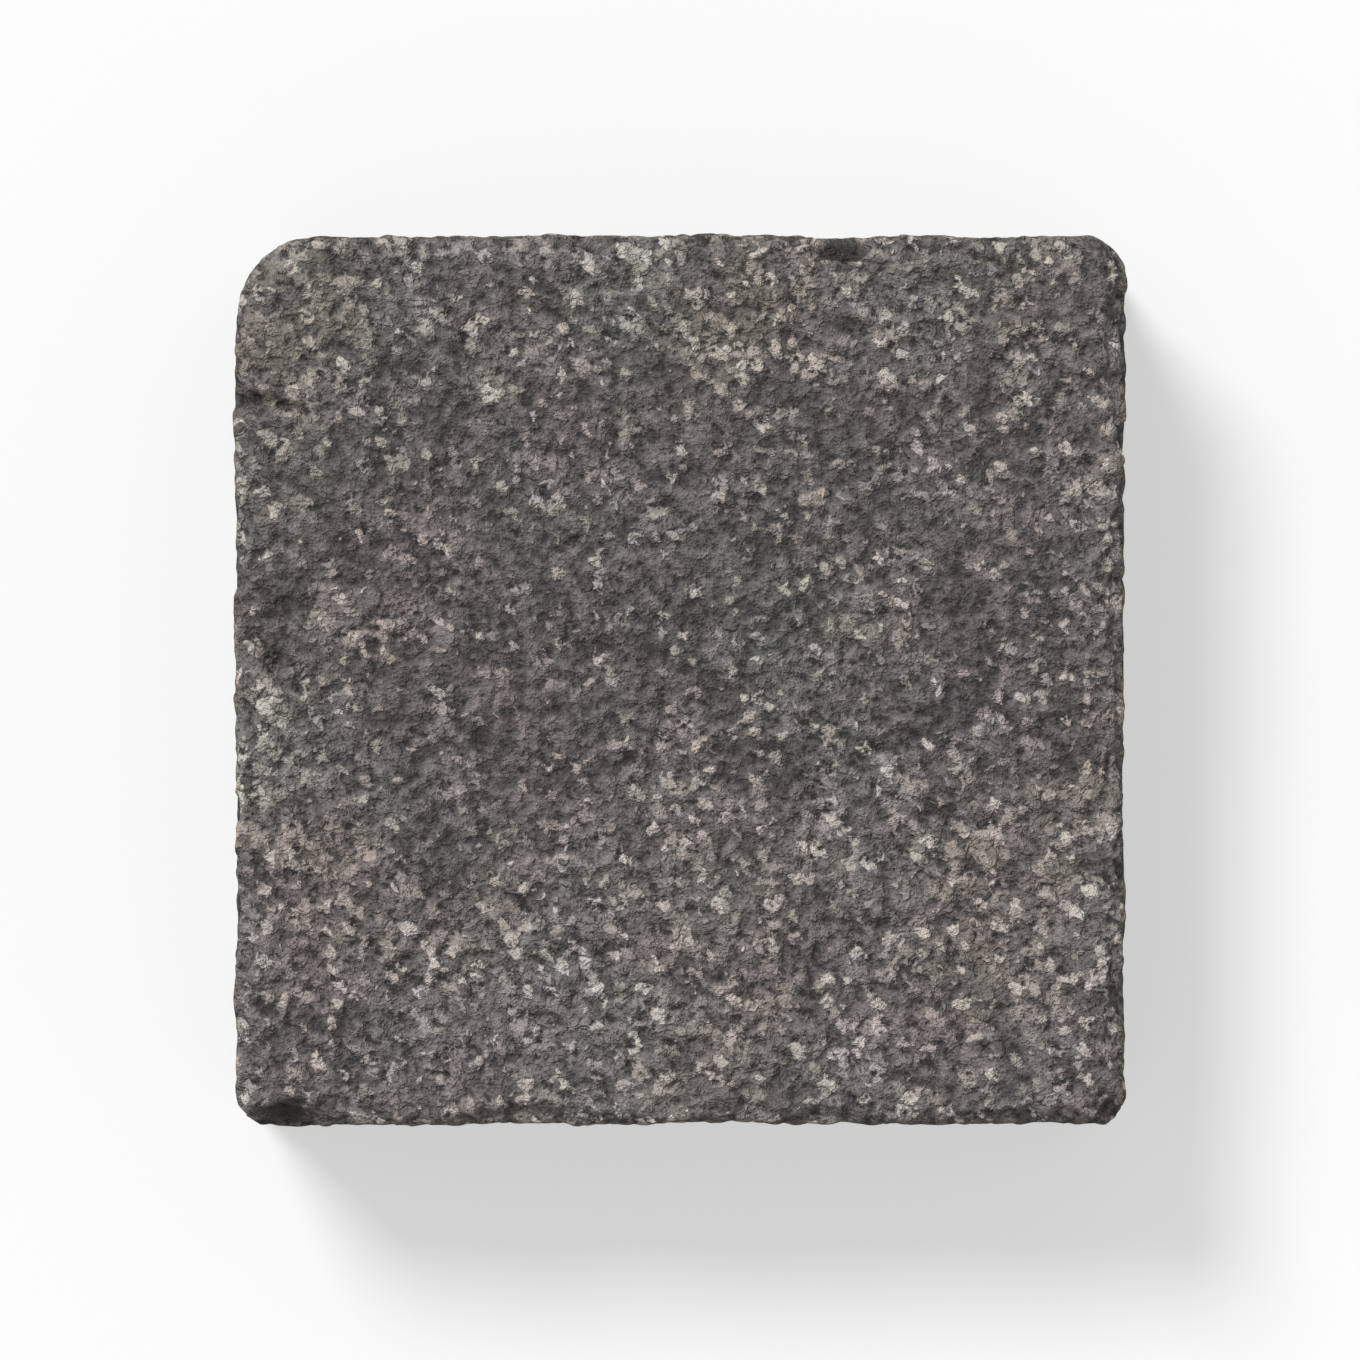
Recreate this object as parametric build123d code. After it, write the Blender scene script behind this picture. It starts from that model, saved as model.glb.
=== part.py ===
from build123d import *
import math
import os
from typing import NamedTuple

# A square tumbled paver: one block of cast concrete, in millimetres.
# +X runs along the face's length, +Y across its width and +Z up through the thickness.
# The origin is the middle of the bed, the face that lies on the ground.

# The block
FACE_LENGTH = 198.0
FACE_WIDTH = 198.0
THICKNESS = 60.0

# The four upright corners, which tumbling has rounded unevenly
BACK_LEFT_RADIUS = 19.5
BACK_RIGHT_RADIUS = 10.0
FRONT_LEFT_RADIUS = 6.5
FRONT_RIGHT_RADIUS = 5.0

# The arris, or edge, round the wearing face and round the bed
WEARING_ARRIS_RADIUS = 3.0
BED_ARRIS_RADIUS = 3.5
MOST_ARRIS_TO_CORNER = 0.8  # an arris is rounded less than the tightest upright corner it runs round

# Three kinds of chip knocked out of an arris: length along it, reach in from it, drop down the side
NICK_LENGTH = 15.0
NICK_REACH = 4.8
NICK_DROP = 3.8
CHIP_LENGTH = 28.0
CHIP_REACH = 4.8
CHIP_DROP = 4.4
SPALL_LENGTH = 44.0
SPALL_REACH = 6.0
SPALL_DROP = 5.2

# A knock in an upright corner: length up the corner, and depth
KNOCK_LENGTH = 24.0
KNOCK_DEPTH = 1.6


class Chip(NamedTuple):
    """One kind of chip, by the size of its mouth."""

    length: float
    reach: float
    drop: float


class Side(NamedTuple):
    """One upright side: the way it faces, the way along it, its distance from the middle, its length."""

    outward: Vector
    along: Vector
    distance: float
    length: float


class Corner(NamedTuple):
    """One upright corner: its two signs in plan and its radius."""

    x_sign: int
    y_sign: int
    radius: float


NICK = Chip(NICK_LENGTH, NICK_REACH, NICK_DROP)
CHIP = Chip(CHIP_LENGTH, CHIP_REACH, CHIP_DROP)
SPALL = Chip(SPALL_LENGTH, SPALL_REACH, SPALL_DROP)

SIDES = {
    "front": Side(Vector(0, -1, 0), Vector(1, 0, 0), FACE_WIDTH / 2, FACE_LENGTH),
    "right": Side(Vector(1, 0, 0), Vector(0, 1, 0), FACE_LENGTH / 2, FACE_WIDTH),
    "back": Side(Vector(0, 1, 0), Vector(1, 0, 0), FACE_WIDTH / 2, FACE_LENGTH),
    "left": Side(Vector(-1, 0, 0), Vector(0, 1, 0), FACE_LENGTH / 2, FACE_WIDTH),
}

CORNERS = {
    "back_left": Corner(-1, 1, BACK_LEFT_RADIUS),
    "back_right": Corner(1, 1, BACK_RIGHT_RADIUS),
    "front_left": Corner(-1, -1, FRONT_LEFT_RADIUS),
    "front_right": Corner(1, -1, FRONT_RIGHT_RADIUS),
}

# Chips along each side: place from the side's middle, as a share of its length, and kind
WEARING_CHIPS = {
    "front": [(-0.41, SPALL), (-0.16, CHIP), (0.17, CHIP), (0.40, CHIP)],
    "right": [(0.36, SPALL), (0.08, CHIP), (-0.39, CHIP)],
    "back": [(0.19, NICK), (-0.27, CHIP)],
    "left": [(0.32, NICK), (0.02, NICK), (-0.27, CHIP)],
}
BED_CHIPS = {
    "front": [(-0.28, CHIP), (0.05, NICK), (0.33, SPALL)],
    "right": [(-0.24, CHIP), (0.12, SPALL)],
    "back": [(-0.36, CHIP), (-0.02, SPALL), (0.29, NICK)],
    "left": [(-0.36, SPALL), (-0.04, CHIP), (0.25, CHIP)],
}

# Chips where an arris turns an upright corner
WEARING_CORNER_CHIPS = {"back_left": CHIP, "front_right": CHIP}
BED_CORNER_CHIPS = {"front_left": CHIP, "back_right": CHIP}

# Knocks in the upright corners: place up the corner, as a share of the thickness
CORNER_KNOCKS = {"back_left": 0.58, "back_right": 0.36, "front_left": 0.62, "front_right": 0.44}

UP = Vector(0, 0, 1)
DOWN = Vector(0, 0, -1)


def corner_outward(corner):
    """The way an upright corner faces in plan."""
    return Vector(corner.x_sign, corner.y_sign, 0).normalized()


def corner_apex(corner, height):
    """The point of an upright corner's arc that stands furthest out, at a height."""
    square_corner = Vector(corner.x_sign * FACE_LENGTH / 2, corner.y_sign * FACE_WIDTH / 2, height)
    return square_corner - corner_outward(corner) * (math.sqrt(2) - 1) * corner.radius


def side_point(side, share, height):
    """A point on a side's plane, a share of its length from its middle, at a height."""
    return side.outward * side.distance + side.along * (share * side.length) + UP * height


def arris_scoop(chip, point, outward, upward):
    """The ball whose cut at an arris point has the chip's length, reach and drop."""
    half_length = chip.length / 2
    out = (half_length**2 - chip.reach**2) / (2 * chip.reach)
    up = (half_length**2 - chip.drop**2) / (2 * chip.drop)
    radius = math.sqrt(half_length**2 + out**2 + up**2)
    return Pos(point + outward * out + upward * up) * Sphere(radius)


def corner_scoop(corner, share):
    """The ball whose cut in an upright corner has the knock's length and depth."""
    radius = (KNOCK_LENGTH**2 / 4 + KNOCK_DEPTH**2) / (2 * KNOCK_DEPTH)
    apex = corner_apex(corner, share * THICKNESS)
    return Pos(apex + corner_outward(corner) * (radius - KNOCK_DEPTH)) * Sphere(radius)


def rounded_face():
    """The paver's outline in plan, with its four uneven corners."""
    outline = Rectangle(FACE_LENGTH, FACE_WIDTH)
    for corner in CORNERS.values():
        square_corner = Vector(corner.x_sign * FACE_LENGTH / 2, corner.y_sign * FACE_WIDTH / 2, 0)
        vertex = outline.vertices().sort_by_distance(square_corner)[0]
        outline = fillet(vertex, corner.radius)
    return outline


def rounded_block():
    """The block with its upright corners and both arrises rounded, before chipping."""
    block = extrude(rounded_face(), THICKNESS)
    most_radius = MOST_ARRIS_TO_CORNER * min(corner.radius for corner in CORNERS.values())
    bed_edges = block.faces().sort_by(Axis.Z)[0].edges()
    block = fillet(bed_edges, min(BED_ARRIS_RADIUS, most_radius))
    wearing_edges = block.faces().sort_by(Axis.Z)[-1].edges()
    return fillet(wearing_edges, min(WEARING_ARRIS_RADIUS, most_radius))


def arris_scoops(side_chips, corner_chips, height, upward):
    """The balls for every chip round one arris."""
    scoops = []
    for name, chips in side_chips.items():
        side = SIDES[name]
        for share, chip in chips:
            scoops.append(arris_scoop(chip, side_point(side, share, height), side.outward, upward))
    for name, chip in corner_chips.items():
        corner = CORNERS[name]
        scoops.append(arris_scoop(chip, corner_apex(corner, height), corner_outward(corner), upward))
    return scoops


def paver():
    """The whole paver: the rounded block with its chips and knocks taken out."""
    scoops = arris_scoops(WEARING_CHIPS, WEARING_CORNER_CHIPS, THICKNESS, UP)
    scoops += arris_scoops(BED_CHIPS, BED_CORNER_CHIPS, 0, DOWN)
    scoops += [corner_scoop(CORNERS[name], share) for name, share in CORNER_KNOCKS.items()]
    return rounded_block() - scoops


os.makedirs("parts", exist_ok=True)
export_step(paver().solid(), "parts/paver.step")
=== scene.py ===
import math
from typing import NamedTuple

import bmesh
import bpy
from bpy.props import FloatProperty, FloatVectorProperty, IntProperty, PointerProperty
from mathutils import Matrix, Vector, noise


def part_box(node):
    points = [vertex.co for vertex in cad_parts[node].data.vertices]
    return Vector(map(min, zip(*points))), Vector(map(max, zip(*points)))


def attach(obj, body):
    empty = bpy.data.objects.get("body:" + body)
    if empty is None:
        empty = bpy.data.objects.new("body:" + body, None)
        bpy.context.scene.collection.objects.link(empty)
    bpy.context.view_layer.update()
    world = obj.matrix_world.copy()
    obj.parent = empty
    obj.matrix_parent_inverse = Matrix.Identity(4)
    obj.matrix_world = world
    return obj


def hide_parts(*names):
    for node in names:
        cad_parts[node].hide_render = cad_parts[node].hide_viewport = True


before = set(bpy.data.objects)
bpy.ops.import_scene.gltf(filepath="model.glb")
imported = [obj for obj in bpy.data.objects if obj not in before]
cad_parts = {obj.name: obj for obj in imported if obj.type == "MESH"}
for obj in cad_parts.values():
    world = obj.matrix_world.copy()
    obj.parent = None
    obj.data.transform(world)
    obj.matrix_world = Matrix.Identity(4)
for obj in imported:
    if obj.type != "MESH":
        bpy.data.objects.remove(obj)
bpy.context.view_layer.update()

bl_info = {
    "name": "Tumbled Concrete Paver",
    "version": (1, 0, 0),
    "blender": (4, 5, 0),
    "location": "View3D > Sidebar > Paver",
    "description": "Gives a square tumbled paver its worn skin, its concrete and a plain stage",
    "category": "Object",
}

MM = 0.001
PAVER_LOW, PAVER_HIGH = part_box("paver")
PAVER_SIZE = PAVER_HIGH - PAVER_LOW
FACE_HEIGHT = PAVER_HIGH.z / MM


class Cloud(NamedTuple):
    """Soft noise about 0, with a strength and with lumps of a size in millimetres.

    Each further octave is finer by a factor, and the weaker the larger the fade. The shift moves the noise.
    """

    size: float
    strength: float
    fade: float
    finer: float
    octaves: int
    shift: tuple = (0, 0, 0)


class Hollows(NamedTuple):
    """Round hollows scattered about a cell apart, each with a radius and a depth of its own.

    The cell is in millimetres. The radius is a share of the cell and the depth a share of the deepest,
    each from its least to its most. The salts fix which cells have a hollow, its radius and its depth.
    """

    cell: float
    share: float
    radius: tuple
    depth: tuple
    salts: tuple


class Speckle(NamedTuple):
    """Noise in a material: the size of its lumps in millimetres, its detail and its roughness."""

    size: float
    detail: float
    roughness: float


# How far the cement skin has worn off, from 0 where it is whole to 1: on the sides,
# and what the wearing face and an arris add to that
SIDE_WEAR = 0.3
FACE_WEAR = 0.15
ARRIS_WEAR = 0.5
ARRIS_WEAR_REACH = (1.0, 6.0)  # millimetres in from an edge over which its wear fades out
FACE_REACH = (6.0, 1.0)  # millimetres below the wearing face over which its wear and stains begin
WEAR_PATCHES = Cloud(34.0, 0.26, 0.8, 2.1, 3)
WEAR_MOTTLE = Cloud(9.0, 0.9, 0.8, 2.1, 2)

# Where the wearing face's skin has worn off most, or is still whole: x, y and radius in millimetres,
# and the share of wear that is added there, below 0 where it is whole
WORN_PLACES = (
    (-4, -50, 24, 0.58),
    (72, -52, 34, 0.45),
    (-36, -72, 28, 0.5),
    (44, -82, 18, 0.3),
    (-86, -40, 28, 0.4),
    (-90, -8, 18, 0.48),
    (21, 84, 15, 0.7),
    (62, 82, 18, 0.6),
    (-90, 68, 18, 0.4),
    (-8, 90, 16, 0.3),
    (-66, -95, 9, 0.3),
    (-8, -95, 8, 0.3),
    (36, -91, 9, 0.3),
    (-14, 14, 40, -0.3),
    (-42, -16, 30, -0.28),
    (26, 58, 30, -0.34),
    (72, 2, 26, -0.2),
    (-80, 34, 18, -0.32),
    (-50, 58, 18, -0.34),
    (20, -72, 17, -0.38),
    (42, 80, 8, -0.3),
)

# How brown the grey is, from 0 to 1, and the places of the wearing face that are stained browner
WARM_MEAN = 0.34
WARM_PATCHES = Cloud(26.0, 0.5, 0.9, 2.2, 3, (3, 8, 5))
BROWN_PLACES = (
    (-86, 70, 16, 0.5),
    (21, 84, 13, 0.5),
    (-80, -42, 15, 0.5),
    (68, -48, 22, 0.5),
)

# How far the grey leans from green to mauve, from 0 to 1, and the places that lean further either way
MAUVE_MEAN = 0.5
MAUVE_PATCHES = Cloud(14.0, 0.45, 0.8, 2.2, 3, (6, 2, 9))
MAUVE_PLACES = (
    (70, 6, 20, 0.45),
    (70, -24, 14, 0.3),
    (-60, 18, 22, 0.3),
    (-20, -14, 26, 0.28),
    (-62, -74, 18, 0.28),
    (56, -84, 14, 0.32),
    (-84, -42, 11, 0.4),
    (68, 58, 14, 0.25),
    (28, 18, 18, -0.42),
    (-88, 46, 18, -0.34),
    (-88, -10, 16, -0.42),
    (-78, 86, 18, -0.42),
    (-18, 86, 22, -0.32),
    (62, 86, 18, -0.34),
    (14, 78, 14, -0.3),
)

# Single deep pits and clefts in the wearing face, in millimetres and degrees:
# x, y, length, width, turn and depth
# Each pit is painted darker the deeper it is, partly as dirt and partly as painted shade; the notch in the
# back edge and the spall at the front-left corner are darkened as painted shade
DEEP_PITS = (
    (-91, 4, 10, 6, 25, 2.4),
    (-88, 17, 6, 4, 0, 1.6),
    (-97, 62, 16, 4.2, 0, 2.6),
    (-88, 61, 14, 3.4, -8, 2.0),
    (35.5, 97, 14, 9, 0, 3.4),
    (-88, -97, 20, 7, 0, 2.6),
    (95, -95, 9, 7, -45, 1.6),
    (-22, 31, 5, 3, 40, 1.2),
    (52, 24, 5, 3.4, 110, 1.1),
    (8, -22, 4.4, 3.2, 70, 1.2),
    (58, -30, 6, 3, 150, 1.3),
    (-60, -62, 5, 3.6, 20, 1.2),
    (-48, 60, 4, 3, 95, 1.0),
    (2, 46, 7, 2.2, 30, 1.0),
    (30, -8, 6, 2.4, 130, 1.0),
)
DEEP_PIT_REACH = 8.0  # millimetres below the wearing face that the single pits reach down to
# Pits are painted darker with depth, partly as dirt and partly as painted shade
PIT_DIRT_AND_SHADE = (0.1, 2.2)  # depths in millimetres from a clean pit to a dark one

# Scattered pits, and the size and reach in millimetres of the rags in every pit's rim
PITS = Hollows(15.0, 0.45, (0.08, 0.22), (0.35, 1.0), (3, 7, 11))
RIM_SIZE = 3.2
RIM_REACH = 1.1
RIM_SEED = 1  # fixes the rags, which would otherwise be drawn anew in each run

# Bites along an arris, and each kind's share of the deepest
LARGE_BITES = Hollows(14.0, 0.6, (0.35, 0.75), (0.4, 1.0), (21, 26, 30))
SMALL_BITES = Hollows(7.0, 0.8, (0.35, 0.75), (0.4, 1.0), (33, 38, 42))
LARGE_BITE_SHARE = 0.8
SMALL_BITE_SHARE = 0.7
ARRIS_START = 0.5  # millimetres in from an edge where the bites begin to fade
CHANCE_SPREAD = 57.31  # keeps the chance numbers of neighbouring cells apart

# The dimples of the sandy relief and the crests between them, at two sizes in millimetres
FINE_DIMPLE = 4.2
FINE_CREST = 1.1
BROAD_DIMPLE = 7.5
BROAD_CREST = 0.8
BROAD_SHIFT = (9, 4, 7)

# Waves and relief of the faces: a pair runs from the sides to a level face where nothing else is said,
# and the last share of each is what the bed goes without
LEVEL_NORMAL = (0.3, 0.9)  # how far up or down the normal points
BED_NORMAL = (0.7, 0.95)  # how far down the normal points, from the sides to the bed
FACE_WAVES = Cloud(22.0, 0.7, 0.9, 2.0, 4)
WAVE_MEAN = 0.5
WAVE_DRAW = (0.35, 1.0)  # share of a point's height that is counted, so that the sides' waves stand tall
WAVE_SWELL = (1.6, 0.8)
WAVE_OFF_BED = 0.8
RELIEF_BY_WEAR = (0.5, 1.0)  # from whole skin to worn
RELIEF_BY_LEVEL = (0.75, 1.0)
RELIEF_OFF_BED = 0.9
LEAST_CUT = 0.05  # millimetres that every face is cut back, so that the skin stays within the solid
CORE_INSET = 14  # millimetres from each face to the core that wear is cut towards
WELD_GAP = 0.001  # millimetres below which two points of the solid are joined

# Noise, sizes and heights of the concrete, in millimetres
GRIT = Speckle(2.6, 3.0, 0.65)
DUST = Speckle(0.8, 2.0, 0.7)
BEND = Speckle(2.2, 0.0, 0.5)
BEND_PUSH = (2.8, -2.2, 2.0)  # how far the bends push the grains out of shape
GRAIN_SIZE = 2.7
GRIT_HEIGHT = 3.0
GRAIN_HEIGHT = 0.8
NOISE_MEAN = 0.5  # the level that a material's noise swings about

# How pale the cement is: by wear, by crests of the relief and by grit
PALE_BY_WEAR = 0.38
PALE_BY_CREST = 0.66
PALE_BY_GRIT = 2.2
PALE_RANGE = (-0.1, 1.3)

# Sand grains: the share of cells that hold one, from whole skin to the wear at which most do,
# a grain's radius in shares of its cell, and where its edge fades in, in shares of its radius
GRAIN_SHARE = (0.55, 0.95)
GRAIN_SHARE_WEAR = 0.9
GRAIN_RADIUS = (0.25, 0.8)
GRAIN_EDGE = (1.0, 0.55)

# How far a grain lies bare of cement, how pale it is and how strongly it shows
GRAIN_COVER = 0.24  # share of its radius that cement covers before any wear
BARE_BY_GRIT = 3.2
BARE_BY_WEAR = 0.45
BARE_BY_CREST = 0.5
TONE_BY_CHANCE = 0.9
TONE_BY_WEAR = 0.16
GRAIN_STRENGTH = 0.92

# Dust, dirt and painted shade, and gloss: the levels of noise, crest or grit that each runs over, and what
# it comes to there
DUST_LEVELS = (0.25, 0.75)
DUST_SHADES = (0.72, 1.28)
# Crevices in the grit: darkened partly as dirt and partly as painted shade of the relief
CREVICE_LEVELS = (0.46, 0.30)
CREVICE_DIRT_AND_SHADE = 0.8
# Pit bottoms: darkened partly as dirt and partly as painted shade
PIT_BOTTOM_DIRT_AND_SHADE = 0.85
# Valleys of the sandy relief: darkened partly as dirt and partly as painted shade
VALLEY_LEVELS = (0.24, 0.02)
VALLEY_DIRT_AND_SHADE = 0.6
GLOSS_LEVELS = (0.3, 0.7)
GLOSS_ROUGHNESS = (0.92, 0.78)
SPECULAR_LEVEL = 0.35

# Metres from the floor's middle to its edge, and from the camera to the furthest that it sees
FLOOR_REACH = 4.0
CAMERA_REACH = 20.0


def screen_colour(red, green, blue):
    """A linear colour from the three numbers of a screen colour, 0 to 255, by the usual screen curve."""
    def linear(level):
        share = level / 255
        if share <= 0.04045:
            return share / 12.92
        return ((share + 0.055) / 1.055) ** 2.4

    return (linear(red), linear(green), linear(blue), 1.0)


class PaverWear(bpy.types.PropertyGroup):
    """How the tumbling drum and the casting have marked the block."""

    skin_cell: FloatProperty(
        name="Skin Cell",
        description="Size of the cells that the worn skin is modelled with",
        default=0.72 * MM,
        min=0.4 * MM,
        precision=5,
        unit="LENGTH",
        subtype="DISTANCE",
    )
    triangle_limit: IntProperty(
        name="Triangle Limit",
        description="Most triangles that the finished paver may have",
        default=190000,
        min=1000,
    )
    arris_width: FloatProperty(
        name="Arris Width",
        description="How far in from an edge the nibbling reaches",
        default=7.0 * MM,
        precision=5,
        unit="LENGTH",
        subtype="DISTANCE",
    )
    nibble_depth: FloatProperty(
        name="Nibble Depth",
        description="Depth of the deepest small bite out of an edge",
        default=2.8 * MM,
        precision=5,
        unit="LENGTH",
        subtype="DISTANCE",
    )
    pit_depth: FloatProperty(
        name="Pit Depth",
        description="Depth of the deepest scattered pit in a face",
        default=1.0 * MM,
        precision=5,
        unit="LENGTH",
        subtype="DISTANCE",
    )
    grain_depth: FloatProperty(
        name="Grain Depth",
        description="Depth of the sandy relief where the cement skin has worn off",
        default=1.8 * MM,
        precision=5,
        unit="LENGTH",
        subtype="DISTANCE",
    )
    wave_depth: FloatProperty(
        name="Wave Depth",
        description="Depth of the slow waves in the faces",
        default=0.6 * MM,
        precision=5,
        unit="LENGTH",
        subtype="DISTANCE",
    )


class ConcreteFinish(bpy.types.PropertyGroup):
    """Colours of the concrete."""

    paste_dark: FloatVectorProperty(
        name="Dark Cement",
        description="Pigmented cement where the skin is whole",
        default=screen_colour(77, 75, 73),
        size=4,
        subtype="COLOR",
    )
    paste_pale: FloatVectorProperty(
        name="Pale Cement",
        description="Cement where the skin is rubbed and dusty",
        default=screen_colour(143, 138, 133),
        size=4,
        subtype="COLOR",
    )
    sand_dark: FloatVectorProperty(
        name="Dark Sand",
        description="The darkest sand grains",
        default=screen_colour(78, 75, 73),
        size=4,
        subtype="COLOR",
    )
    sand_grey: FloatVectorProperty(
        name="Grey Sand",
        description="Sand grains of a middling grey",
        default=screen_colour(130, 125, 120),
        size=4,
        subtype="COLOR",
    )
    sand_pale: FloatVectorProperty(
        name="Pale Sand",
        description="Pale beige sand grains",
        default=screen_colour(167, 160, 152),
        size=4,
        subtype="COLOR",
    )
    sand_white: FloatVectorProperty(
        name="White Sand",
        description="The palest sand grains",
        default=screen_colour(206, 199, 190),
        size=4,
        subtype="COLOR",
    )
    cool_tint: FloatVectorProperty(
        name="Cool Tint",
        description="What the colours are multiplied by where the concrete is coolest",
        default=(0.975, 1.0, 1.02, 1.0),
        size=4,
        subtype="COLOR",
    )
    brown_tint: FloatVectorProperty(
        name="Brown Tint",
        description="What the colours are multiplied by where the concrete is stained brown",
        default=(1.04, 0.995, 0.95, 1.0),
        size=4,
        subtype="COLOR",
    )
    green_tint: FloatVectorProperty(
        name="Green Tint",
        description="What the colours are multiplied by where the grey is greenest",
        default=(0.975, 1.008, 0.975, 1.0),
        size=4,
        subtype="COLOR",
    )
    mauve_tint: FloatVectorProperty(
        name="Mauve Tint",
        description="What the colours are multiplied by where the grey leans most to mauve",
        default=(1.03, 0.968, 1.03, 1.0),
        size=4,
        subtype="COLOR",
    )
    # Colour of dirt in pores and pits, also used for the painted shade in crevices, pits and valleys
    pore_and_shade: FloatVectorProperty(
        name="Pore",
        description="The dark bottom of pores and pits",
        default=screen_colour(40, 38, 37),
        size=4,
        subtype="COLOR",
    )


class PaverStage(bpy.types.PropertyGroup):
    """Floor, light and camera."""

    floor_colour: FloatVectorProperty(
        name="Floor Colour",
        description="Colour of the plain floor",
        default=(0.97, 0.97, 0.97, 1.0),
        size=4,
        subtype="COLOR",
    )
    floor_bounce: FloatVectorProperty(
        name="Floor Bounce",
        description="Colour of the floor for the light that it throws back at the paver",
        default=(0.35, 0.35, 0.35, 1.0),
        size=4,
        subtype="COLOR",
    )
    floor_lift: FloatProperty(
        name="Floor Lift",
        description="Share of plain white in the floor as the camera sees it, "
        "which keeps its shadow light",
        default=0.5,
        subtype="FACTOR",
    )
    dome_share: FloatProperty(
        name="Dome Share",
        description="Share of the light on a level face that comes from the whole sky",
        default=0.4,
        subtype="FACTOR",
    )
    key_elevation: FloatProperty(
        name="Key Elevation",
        description="Height of the key light above the floor",
        default=math.radians(46),
        subtype="ANGLE",
    )
    key_azimuth: FloatProperty(
        name="Key Azimuth",
        description="Direction of the key light in plan, from +X",
        default=math.radians(125),
        subtype="ANGLE",
    )
    key_softness: FloatProperty(
        name="Key Softness",
        description="Width of the key light as seen from the paver",
        default=math.radians(20),
        subtype="ANGLE",
    )
    camera_height: FloatProperty(
        name="Camera Height",
        description="Height of the camera above the wearing face",
        default=2.4,
        unit="LENGTH",
        subtype="DISTANCE",
    )
    frame_share: FloatProperty(
        name="Frame Share",
        description="Share of the picture's width that the paver fills",
        default=0.66,
        subtype="FACTOR",
    )


class NodeDesk:
    """Adds nodes to one node tree and links them."""

    COLUMN = 220
    ROW = 260
    ROWS = 8

    def __init__(self, tree):
        self.tree = tree
        self.count = 0

    def add(self, kind, inputs=None, **settings):
        """A new node with its settings, and its inputs set to values or linked from sockets."""
        node = self.tree.nodes.new(kind)
        node.location = (self.COLUMN * (self.count // self.ROWS), -self.ROW * (self.count % self.ROWS))
        self.count += 1
        for name, value in settings.items():
            setattr(node, name, value)
        for name, value in (inputs or {}).items():
            self.feed(node.inputs[name], value)
        return node

    def feed(self, socket, value):
        """Links a socket to an input, or sets the input's own value."""
        if isinstance(value, bpy.types.NodeSocket):
            self.tree.links.new(value, socket)
        else:
            socket.default_value = value

    def math(self, operation, first, second=0.0, clamp=False):
        """The result of one sum on one or two values."""
        node = self.add("ShaderNodeMath", {0: first, 1: second}, operation=operation, use_clamp=clamp)
        return node.outputs[0]

    def weighted(self, *terms):
        """Values added up, each times its own weight."""
        total = None
        for value, weight in terms:
            part = self.math("MULTIPLY", value, weight)
            total = part if total is None else self.math("ADD", total, part)
        return total

    def scaled(self, vector, scale):
        """A vector made longer or shorter."""
        node = self.add("ShaderNodeVectorMath", {0: vector, "Scale": scale}, operation="SCALE")
        return node.outputs[0]

    def moved(self, vector, push):
        """A vector with a push added to it."""
        node = self.add("ShaderNodeVectorMath", {0: vector, 1: push}, operation="ADD")
        return node.outputs[0]

    def noise(self, vector, speckle):
        """Soft noise on a vector in millimetres."""
        node = self.add("ShaderNodeTexNoise", {"Vector": vector, "Scale": 1.0 / speckle.size})
        node.inputs["Detail"].default_value = speckle.detail
        node.inputs["Roughness"].default_value = speckle.roughness
        return node.outputs["Fac"]

    def remap(self, value, old, new=(0.0, 1.0)):
        """A value eased from one range to another, and held at its ends."""
        node = self.add("ShaderNodeMapRange", {"Value": value}, interpolation_type="SMOOTHSTEP")
        for name, level in zip(("From Min", "From Max", "To Min", "To Max"), (*old, *new)):
            node.inputs[name].default_value = level
        return node.outputs["Result"]

    def mix(self, share, first, second, blend="MIX"):
        """One colour laid over another by a share."""
        node = self.add("ShaderNodeMix", data_type="RGBA", blend_type=blend)
        self.feed(node.inputs["Factor"], share)
        self.feed(node.inputs["A"], first)
        self.feed(node.inputs["B"], second)
        return node.outputs["Result"]

    def tinted(self, colour, tint):
        """A colour multiplied by another."""
        return self.mix(1.0, colour, tint, "MULTIPLY")

    def attribute(self, name):
        """A value that the mesh carries at its points."""
        return self.add("ShaderNodeAttribute", attribute_name=name).outputs["Fac"]


def sand_group():
    """The node group for sand: ragged grains scattered through the cement, each with its own tone."""
    group = bpy.data.node_groups.new("Sand Grains", "ShaderNodeTree")
    for name, kind in (
        ("Position", "NodeSocketVector"),
        ("Grain Size", "NodeSocketFloat"),
        ("Share", "NodeSocketFloat"),
        ("Fray", "NodeSocketFloat"),
    ):
        group.interface.new_socket(name, in_out="INPUT", socket_type=kind)
    for name in ("Mask", "Tone", "Height"):
        group.interface.new_socket(name, in_out="OUTPUT", socket_type="NodeSocketFloat")
    desk = NodeDesk(group)
    inputs = desk.add("NodeGroupInput").outputs
    scaled = desk.scaled(inputs["Position"], desk.math("DIVIDE", 1.0, inputs["Grain Size"]))
    cells = desk.add("ShaderNodeTexVoronoi", {"Vector": scaled, "Scale": 1.0})
    chance = desk.add("ShaderNodeSeparateColor", {"Color": cells.outputs["Color"]}).outputs
    present = desk.math("LESS_THAN", chance["Red"], inputs["Share"])
    radius = desk.remap(chance["Green"], (0.0, 1.0), GRAIN_RADIUS)
    reach = desk.math("ADD", desk.math("DIVIDE", cells.outputs["Distance"], radius), inputs["Fray"])
    mask = desk.math("MULTIPLY", desk.remap(reach, GRAIN_EDGE), present)
    out = desk.math("MAXIMUM", reach, 0.0)
    dome = desk.math("SUBTRACT", 1.0, desk.math("MULTIPLY", out, out), clamp=True)
    output = desk.add("NodeGroupOutput")
    desk.feed(output.inputs["Mask"], mask)
    desk.feed(output.inputs["Tone"], chance["Blue"])
    desk.feed(output.inputs["Height"], desk.math("MULTIPLY", dome, present))
    return group


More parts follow.
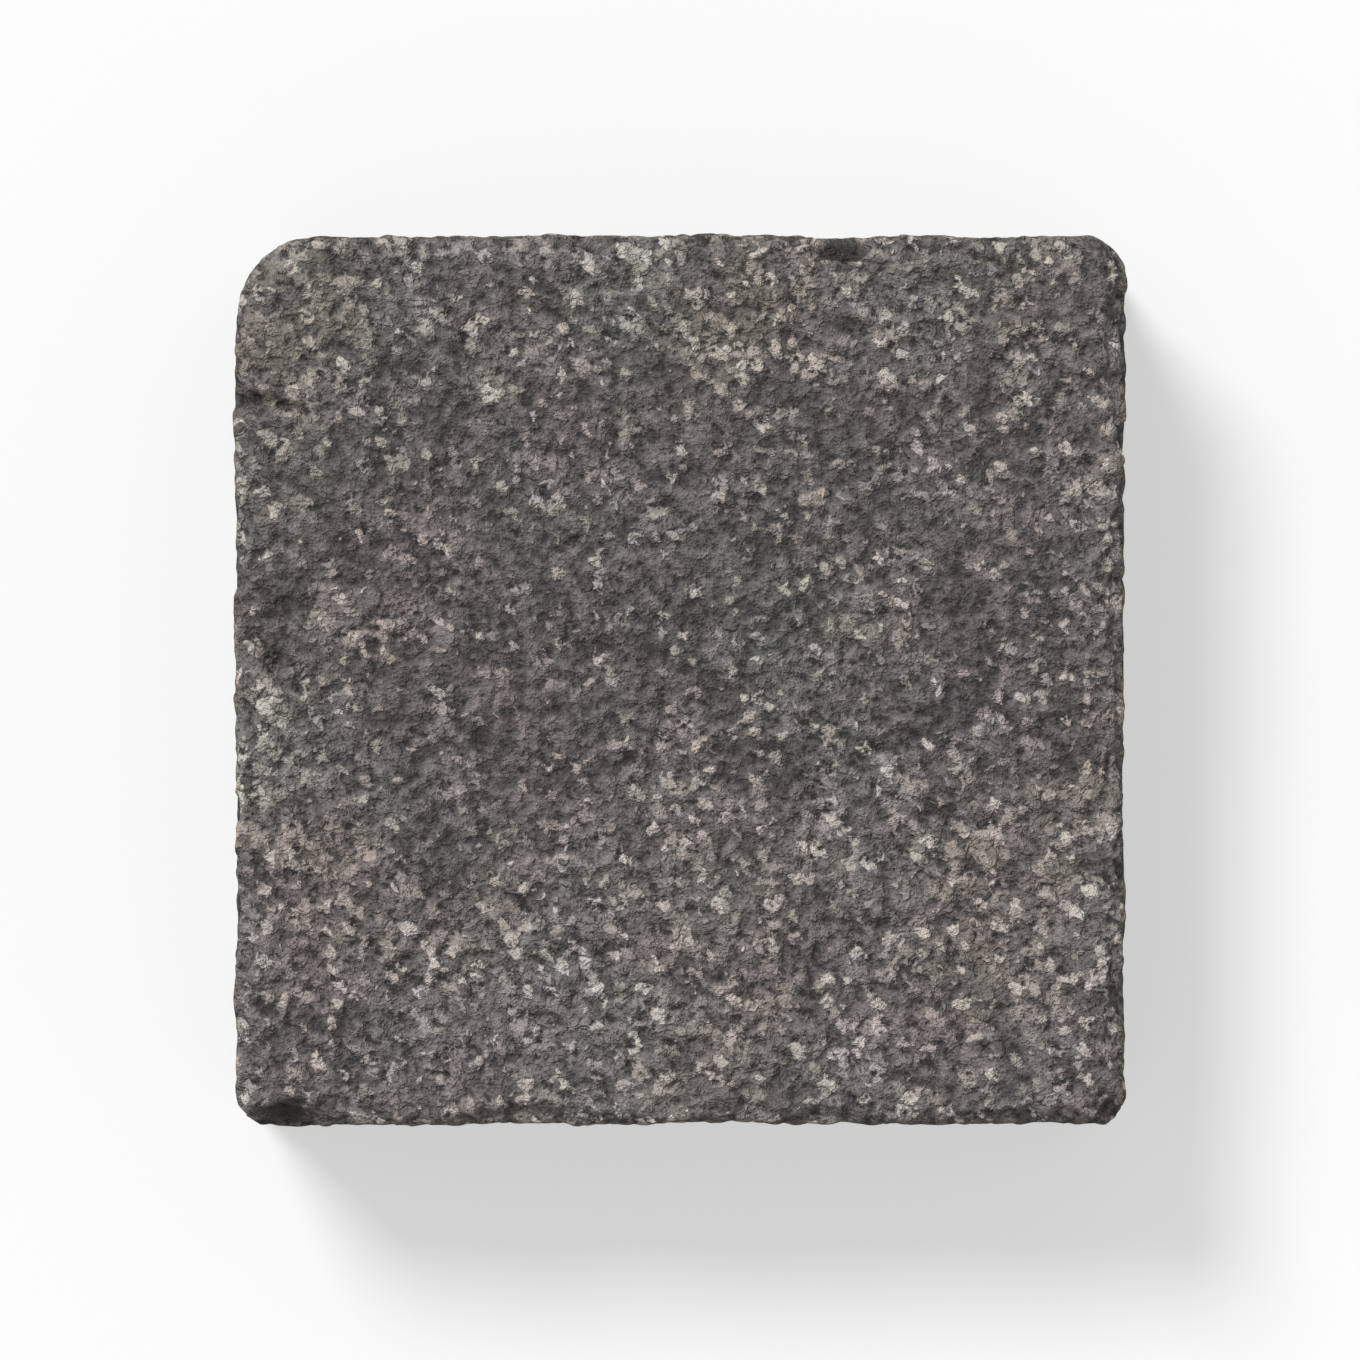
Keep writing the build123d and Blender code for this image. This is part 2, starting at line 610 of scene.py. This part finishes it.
def sand_tones(desk, tone, finish):
    """The colour of a grain from its own chance number: mostly grey, some beige, a few nearly white."""
    stops = (
        (0.0, finish.sand_dark),
        (0.4, finish.sand_grey),
        (0.8, finish.sand_pale),
        (1.0, finish.sand_white),
    )
    ramp = desk.add("ShaderNodeValToRGB", {"Fac": tone})
    elements = ramp.color_ramp.elements
    while len(elements) < len(stops):
        elements.new(1.0)
    for element, (place, colour) in zip(elements, stops):
        element.position = place
        element.color = colour
    return ramp.outputs["Color"]


def concrete_material(finish):
    """The paver's concrete: dark cement, worn and dusty in patches, with sand, pores and pits, and painted
    shade in its crevices, pits and valleys.
    """
    material = bpy.data.materials.new("tumbled_concrete")
    material.use_nodes = True
    material.node_tree.nodes.clear()
    desk = NodeDesk(material.node_tree)
    place = desk.add("ShaderNodeTexCoord").outputs["Object"]
    position = desk.scaled(place, 1.0 / MM)
    opened = desk.attribute("opened")
    crest = desk.attribute("crest")
    grit = desk.noise(position, GRIT)
    swing = desk.math("SUBTRACT", grit, NOISE_MEAN)

    # Cement: paler where the skin is open, on the crests of the relief and on the grit
    pale = desk.weighted((opened, PALE_BY_WEAR), (crest, PALE_BY_CREST), (swing, PALE_BY_GRIT))
    paste = desk.mix(desk.remap(pale, PALE_RANGE), finish.paste_dark, finish.paste_pale)

    # Sand, more of it where the skin is open
    push = desk.scaled(BEND_PUSH, desk.math("SUBTRACT", desk.noise(position, BEND), NOISE_MEAN))
    sand = desk.add("ShaderNodeGroup", node_tree=sand_group())
    desk.feed(sand.inputs["Position"], desk.moved(position, push))
    desk.feed(sand.inputs["Grain Size"], GRAIN_SIZE)
    desk.feed(sand.inputs["Share"], desk.remap(opened, (0.0, GRAIN_SHARE_WEAR), GRAIN_SHARE))
    bare = desk.weighted((swing, BARE_BY_GRIT), (opened, BARE_BY_WEAR), (crest, BARE_BY_CREST))
    desk.feed(sand.inputs["Fray"], desk.math("SUBTRACT", GRAIN_COVER, bare))
    tone = desk.weighted((sand.outputs["Tone"], TONE_BY_CHANCE), (opened, TONE_BY_WEAR))
    covered = desk.math("MULTIPLY", sand.outputs["Mask"], GRAIN_STRENGTH)
    colour = desk.mix(covered, paste, sand_tones(desk, tone, finish))

    # Fine dust and grime over cement and sand alike
    dust = desk.noise(position, DUST)
    colour = desk.tinted(colour, desk.remap(dust, DUST_LEVELS, DUST_SHADES))

    # Cool grey and brown, and green and mauve, in slow patches
    colour = desk.tinted(colour, desk.mix(desk.attribute("warmth"), finish.cool_tint, finish.brown_tint))
    colour = desk.tinted(colour, desk.mix(desk.attribute("mauve"), finish.green_tint, finish.mauve_tint))

    # Crevices, pits and valleys darkened towards the pore colour: partly dirt, partly painted shade
    crevice = desk.math("MULTIPLY", desk.remap(grit, CREVICE_LEVELS), CREVICE_DIRT_AND_SHADE)
    pit = desk.math("MULTIPLY", desk.attribute("pitted"), PIT_BOTTOM_DIRT_AND_SHADE)
    valley = desk.math("MULTIPLY", desk.remap(crest, VALLEY_LEVELS), VALLEY_DIRT_AND_SHADE)
    dirt_and_shade = desk.math("MAXIMUM", desk.math("MAXIMUM", crevice, pit), valley)
    colour = desk.mix(dirt_and_shade, colour, finish.pore_and_shade)

    # Fine relief, with its height in millimetres
    height = desk.weighted((grit, GRIT_HEIGHT), (sand.outputs["Height"], GRAIN_HEIGHT))
    bump = desk.add("ShaderNodeBump", {"Height": height})
    bump.inputs["Strength"].default_value = 1.0
    bump.inputs["Distance"].default_value = MM

    shader = desk.add("ShaderNodeBsdfPrincipled", {"Base Color": colour, "Normal": bump.outputs[0]})
    desk.feed(shader.inputs["Roughness"], desk.remap(grit, GLOSS_LEVELS, GLOSS_ROUGHNESS))
    shader.inputs["Specular IOR Level"].default_value = SPECULAR_LEVEL
    output = desk.add("ShaderNodeOutputMaterial")
    desk.feed(output.inputs["Surface"], shader.outputs[0])
    return material


def eased(value, low, high):
    """0 below low, 1 above high and a smooth step between."""
    share = min(max((value - low) / (high - low), 0.0), 1.0)
    return share * share * (3.0 - 2.0 * share)


def between(ends, share):
    """The value at a share of the way from one end to the other."""
    return ends[0] + (ends[1] - ends[0]) * share


def held(share):
    """A share held from 0 to 1."""
    return min(max(share, 0.0), 1.0)


def cloud_at(point, cloud):
    """The value of a cloud at a point in millimetres."""
    spot = point / cloud.size + Vector(cloud.shift)
    return cloud.strength * noise.fractal(spot, cloud.fade, cloud.finer, cloud.octaves)


def chance_of(cell, salt):
    """A fixed number from 0 to 1 for a cell's centre."""
    return noise.cell_vector(cell * CHANCE_SPREAD + Vector((salt, salt, salt)))[0]


def hollow_depth(point, hollows):
    """Depth from 0 to 1 of the hollow that a point lies in, or 0 outside every hollow."""
    distances, places = noise.voronoi(point / hollows.cell)
    presence, width, depth = (chance_of(places[0], salt) for salt in hollows.salts)
    if presence > hollows.share:
        return 0.0
    bowl = max(0.0, 1.0 - (distances[0] / between(hollows.radius, width)) ** 2)
    return bowl * between(hollows.depth, depth)


def edge_distance(point):
    """How far a point of the skin lies from the nearest edge of the block, in millimetres."""
    middle = (PAVER_LOW + PAVER_HIGH) / (2 * MM)
    half = PAVER_SIZE / (2 * MM)
    inset = sorted(half[axis] - abs(point[axis] - middle[axis]) for axis in range(3))
    return max(inset[1], 0.0)


def top_share(point):
    """1 on the wearing face, and 0 from a few millimetres down the sides."""
    return eased(point.z, FACE_HEIGHT - FACE_REACH[0], FACE_HEIGHT - FACE_REACH[1])


def added_at(point, places):
    """What the places of the wearing face add up to at a point, where each fades out from its middle."""
    on_top = top_share(point)
    if on_top == 0.0:
        return 0.0
    total = 0.0
    for x, y, radius, added in places:
        away = math.hypot(point.x - x, point.y - y) / radius
        total += added * math.exp(-away * away)
    return on_top * total


def open_share(point, edge):
    """How far the cement skin has worn off at a point, from 0 to 1."""
    share = SIDE_WEAR + FACE_WEAR * top_share(point)
    share += cloud_at(point, WEAR_PATCHES)
    share += cloud_at(point, WEAR_MOTTLE)
    share += added_at(point, WORN_PLACES)
    share += ARRIS_WEAR * (1.0 - eased(edge, *ARRIS_WEAR_REACH))
    return held(share)


def warm_share(point):
    """How brown the concrete is at a point, from 0 for the coolest grey to 1."""
    return held(WARM_MEAN + cloud_at(point, WARM_PATCHES) + added_at(point, BROWN_PLACES))


def mauve_share(point):
    """How far the grey leans to mauve at a point, from 0 for the greenest to 1."""
    return held(MAUVE_MEAN + cloud_at(point, MAUVE_PATCHES) + added_at(point, MAUVE_PLACES))


def crest_share(point):
    """How far up the crests between the dimples of the relief a point lies, from 0 to 1."""
    fine = FINE_CREST * abs(noise.noise(point / FINE_DIMPLE))
    broad = BROAD_CREST * abs(noise.noise(point / BROAD_DIMPLE + Vector(BROAD_SHIFT)))
    return min(fine + broad, 1.0)


def pit_depth(point, wear):
    """Depth of the pits at a point, in millimetres."""
    ragged = point + noise.noise_vector(point / RIM_SIZE) * RIM_REACH
    depth = hollow_depth(ragged, PITS) * wear.pit_depth / MM
    if point.z > FACE_HEIGHT - DEEP_PIT_REACH:
        for x, y, length, width, turn, deep in DEEP_PITS:
            along = Vector((math.cos(math.radians(turn)), math.sin(math.radians(turn))))
            offset = Vector((ragged.x - x, ragged.y - y))
            away = math.hypot(offset.dot(along) / (length / 2), offset.cross(along) / (width / 2))
            depth = max(depth, deep * max(0.0, 1.0 - away * away))
    return depth


def relief_depth(point, normal, opened, crest, wear):
    """Depth of the slow waves and the sandy relief at a point, in millimetres."""
    level = eased(abs(normal.z), *LEVEL_NORMAL)
    on_bed = eased(-normal.z, *BED_NORMAL)
    drawn = Vector((point.x, point.y, point.z * between(WAVE_DRAW, level)))
    wave = max(WAVE_MEAN + cloud_at(drawn, FACE_WAVES), 0.0)
    swell = between(WAVE_SWELL, level) * (1.0 - WAVE_OFF_BED * on_bed)
    rough = between(RELIEF_BY_WEAR, opened) * between(RELIEF_BY_LEVEL, level)
    rough *= 1.0 - RELIEF_OFF_BED * on_bed
    waves = wave * swell * wear.wave_depth / MM
    grain = rough * wear.grain_depth / MM * (1.0 - crest)
    return LEAST_CUT + waves + grain


def nibble_depth(point, edge, wear):
    """Depth of the bites out of the edges at a point, in millimetres."""
    arris = 1.0 - eased(edge, ARRIS_START, wear.arris_width / MM)
    if arris == 0.0:
        return 0.0
    bites = LARGE_BITE_SHARE * hollow_depth(point, LARGE_BITES)
    bites += SMALL_BITE_SHARE * hollow_depth(point, SMALL_BITES)
    return arris * wear.nibble_depth / MM * bites


def inward(point):
    """The way from a point of the skin to the block's core, along which wear folds at no edge."""
    inset = Vector((CORE_INSET, CORE_INSET, CORE_INSET))
    core_low = PAVER_LOW / MM + inset
    core_high = PAVER_HIGH / MM - inset
    core = Vector([min(max(point[axis], core_low[axis]), core_high[axis]) for axis in range(3)])
    return (core - point).normalized()


def worn_skin(bm, wear):
    """Wears the finely divided block inwards, and keeps at each point how it is worn and tinted."""
    opened_layer = bm.verts.layers.float.new("opened")
    pitted_layer = bm.verts.layers.float.new("pitted")
    crest_layer = bm.verts.layers.float.new("crest")
    warmth_layer = bm.verts.layers.float.new("warmth")
    mauve_layer = bm.verts.layers.float.new("mauve")
    bm.normal_update()
    noise.seed_set(RIM_SEED)
    moves = []
    for vert in bm.verts:
        point = vert.co / MM
        edge = edge_distance(point)
        opened = open_share(point, edge)
        crest = crest_share(point)
        pit = pit_depth(point, wear)
        depth = relief_depth(point, vert.normal, opened, crest, wear) + nibble_depth(point, edge, wear)
        vert[opened_layer] = opened
        # How dark the pit is painted: partly dirt, partly painted shade
        vert[pitted_layer] = eased(pit, *PIT_DIRT_AND_SHADE)
        vert[crest_layer] = crest
        vert[warmth_layer] = warm_share(point)
        vert[mauve_layer] = mauve_share(point)
        moves.append(inward(point) * ((depth + pit) * MM))
    for vert, move in zip(bm.verts, moves):
        vert.co += move


def apply_modifiers(piece):
    """Puts what the modifiers make into the piece's own mesh."""
    graph = bpy.context.evaluated_depsgraph_get()
    mesh = bpy.data.meshes.new_from_object(piece.evaluated_get(graph))
    mesh.name = piece.name
    piece.modifiers.clear()
    piece.data = mesh


def triangle_count(mesh):
    """How many triangles a mesh's faces make."""
    return sum(len(polygon.vertices) - 2 for polygon in mesh.polygons)


def worn_block(wear):
    """The paver's block with its worn skin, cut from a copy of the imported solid."""
    bm = bmesh.new()
    bm.from_mesh(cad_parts["paver"].data)
    bmesh.ops.remove_doubles(bm, verts=bm.verts, dist=WELD_GAP * MM)
    mesh = bpy.data.meshes.new("tumbled_block")
    bm.to_mesh(mesh)
    bm.free()
    piece = bpy.data.objects.new("tumbled_block", mesh)
    bpy.context.scene.collection.objects.link(piece)

    skin = piece.modifiers.new("Skin", "REMESH")
    skin.mode = "VOXEL"
    skin.voxel_size = wear.skin_cell
    apply_modifiers(piece)

    bm = bmesh.new()
    bm.from_mesh(piece.data)
    worn_skin(bm, wear)
    bmesh.ops.triangulate(bm, faces=bm.faces)
    bm.to_mesh(piece.data)
    bm.free()

    thin = piece.modifiers.new("Thin", "DECIMATE")
    thin.ratio = min(1.0, wear.triangle_limit / triangle_count(piece.data))
    apply_modifiers(piece)
    piece.data.shade_smooth()
    return piece


class PAVER_OT_tumble_block(bpy.types.Operator):
    """Make the paver's block with its worn skin and its concrete"""

    bl_idname = "paver.tumble_block"
    bl_label = "Tumble Block"

    def execute(self, context):
        piece = worn_block(context.scene.paver_wear)
        piece.data.materials.clear()
        piece.data.materials.append(concrete_material(context.scene.concrete_finish))
        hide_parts("paver")
        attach(piece, "root")
        return {"FINISHED"}


def floor_material(stage):
    """A matt floor that the camera sees close to white, with a light shadow left on it."""
    material = bpy.data.materials.new("floor")
    material.use_nodes = True
    material.node_tree.nodes.clear()
    desk = NodeDesk(material.node_tree)
    seen = desk.add("ShaderNodeLightPath").outputs["Is Camera Ray"]
    colour = desk.mix(seen, stage.floor_bounce, stage.floor_colour)
    matt = desk.add("ShaderNodeBsdfDiffuse", {"Color": colour})
    white = desk.add("ShaderNodeEmission", {"Strength": 1.0})
    lift = desk.math("MULTIPLY", seen, stage.floor_lift)
    both = desk.add("ShaderNodeMixShader", {0: lift, 1: matt.outputs[0], 2: white.outputs[0]})
    output = desk.add("ShaderNodeOutputMaterial")
    desk.feed(output.inputs["Surface"], both.outputs[0])
    return material


def plain_floor(stage):
    """A level floor under the paver, wide enough for every view."""
    bm = bmesh.new()
    bmesh.ops.create_grid(bm, x_segments=1, y_segments=1, size=FLOOR_REACH)
    bmesh.ops.translate(bm, verts=bm.verts, vec=(0.0, 0.0, PAVER_LOW.z))
    mesh = bpy.data.meshes.new("floor")
    bm.to_mesh(mesh)
    bm.free()
    floor = bpy.data.objects.new("floor", mesh)
    bpy.context.scene.collection.objects.link(floor)
    mesh.materials.append(floor_material(stage))


def key_light(stage):
    """A wide key from the back left, which with the dome lights a level face as its colour is."""
    key = bpy.data.lights.new("key", "SUN")
    key.energy = (1.0 - stage.dome_share) * math.pi / math.sin(stage.key_elevation)
    key.angle = stage.key_softness
    lamp = bpy.data.objects.new("key", key)
    lamp.rotation_euler = (0.0, math.pi / 2 - stage.key_elevation, stage.key_azimuth)
    bpy.context.scene.collection.objects.link(lamp)


def even_dome(stage):
    """An even sky that the camera, gloss and glass see as white."""
    world = bpy.data.worlds.new("dome")
    world.use_nodes = True
    world.node_tree.nodes.clear()
    desk = NodeDesk(world.node_tree)
    path = desk.add("ShaderNodeLightPath").outputs
    seen = desk.math("MAXIMUM", path["Is Camera Ray"], path["Is Glossy Ray"])
    seen = desk.math("MAXIMUM", seen, path["Is Transmission Ray"])
    strength = desk.add("ShaderNodeMapRange", {"Value": seen, "To Min": stage.dome_share, "To Max": 1.0})
    dome = desk.add("ShaderNodeBackground", {"Strength": strength.outputs["Result"]})
    dome.inputs["Color"].default_value = (1.0, 1.0, 1.0, 1.0)
    output = desk.add("ShaderNodeOutputWorld")
    desk.feed(output.inputs["Surface"], dome.outputs[0])
    bpy.context.scene.world = world


def camera_above(stage):
    """A long lens that looks straight down on the wearing face."""
    camera = bpy.data.cameras.new("camera")
    camera.lens = camera.sensor_width * stage.camera_height * stage.frame_share / PAVER_SIZE.x
    camera.clip_end = CAMERA_REACH
    eye = bpy.data.objects.new("camera", camera)
    eye.location = (0.0, 0.0, PAVER_HIGH.z + stage.camera_height)
    bpy.context.scene.collection.objects.link(eye)
    bpy.context.scene.camera = eye


class PAVER_OT_set_stage(bpy.types.Operator):
    """Lay the floor, light the paver and set the camera above it"""

    bl_idname = "paver.set_stage"
    bl_label = "Set Stage"

    def execute(self, context):
        stage = context.scene.paver_stage
        plain_floor(stage)
        key_light(stage)
        even_dome(stage)
        camera_above(stage)
        context.scene.view_settings.view_transform = "Standard"
        return {"FINISHED"}


class PAVER_PT_sidebar(bpy.types.Panel):
    """Lists the paver's steps and settings"""

    bl_label = "Tumbled Paver"
    bl_space_type = "VIEW_3D"
    bl_region_type = "UI"
    bl_category = "Paver"

    def draw(self, context):
        layout = self.layout
        layout.operator(PAVER_OT_tumble_block.bl_idname)
        layout.operator(PAVER_OT_set_stage.bl_idname)
        scene = context.scene
        for group in (scene.paver_wear, scene.concrete_finish, scene.paver_stage):
            for name in group.__annotations__:
                layout.prop(group, name)


CLASSES = (
    PaverWear,
    ConcreteFinish,
    PaverStage,
    PAVER_OT_tumble_block,
    PAVER_OT_set_stage,
    PAVER_PT_sidebar,
)


def register():
    for cls in CLASSES:
        bpy.utils.register_class(cls)
    bpy.types.Scene.paver_wear = PointerProperty(type=PaverWear)
    bpy.types.Scene.concrete_finish = PointerProperty(type=ConcreteFinish)
    bpy.types.Scene.paver_stage = PointerProperty(type=PaverStage)


def unregister():
    del bpy.types.Scene.paver_stage
    del bpy.types.Scene.concrete_finish
    del bpy.types.Scene.paver_wear
    for cls in reversed(CLASSES):
        bpy.utils.unregister_class(cls)


def main():
    register()
    bpy.ops.paver.tumble_block()
    bpy.ops.paver.set_stage()


if __name__ == "__main__":
    main()
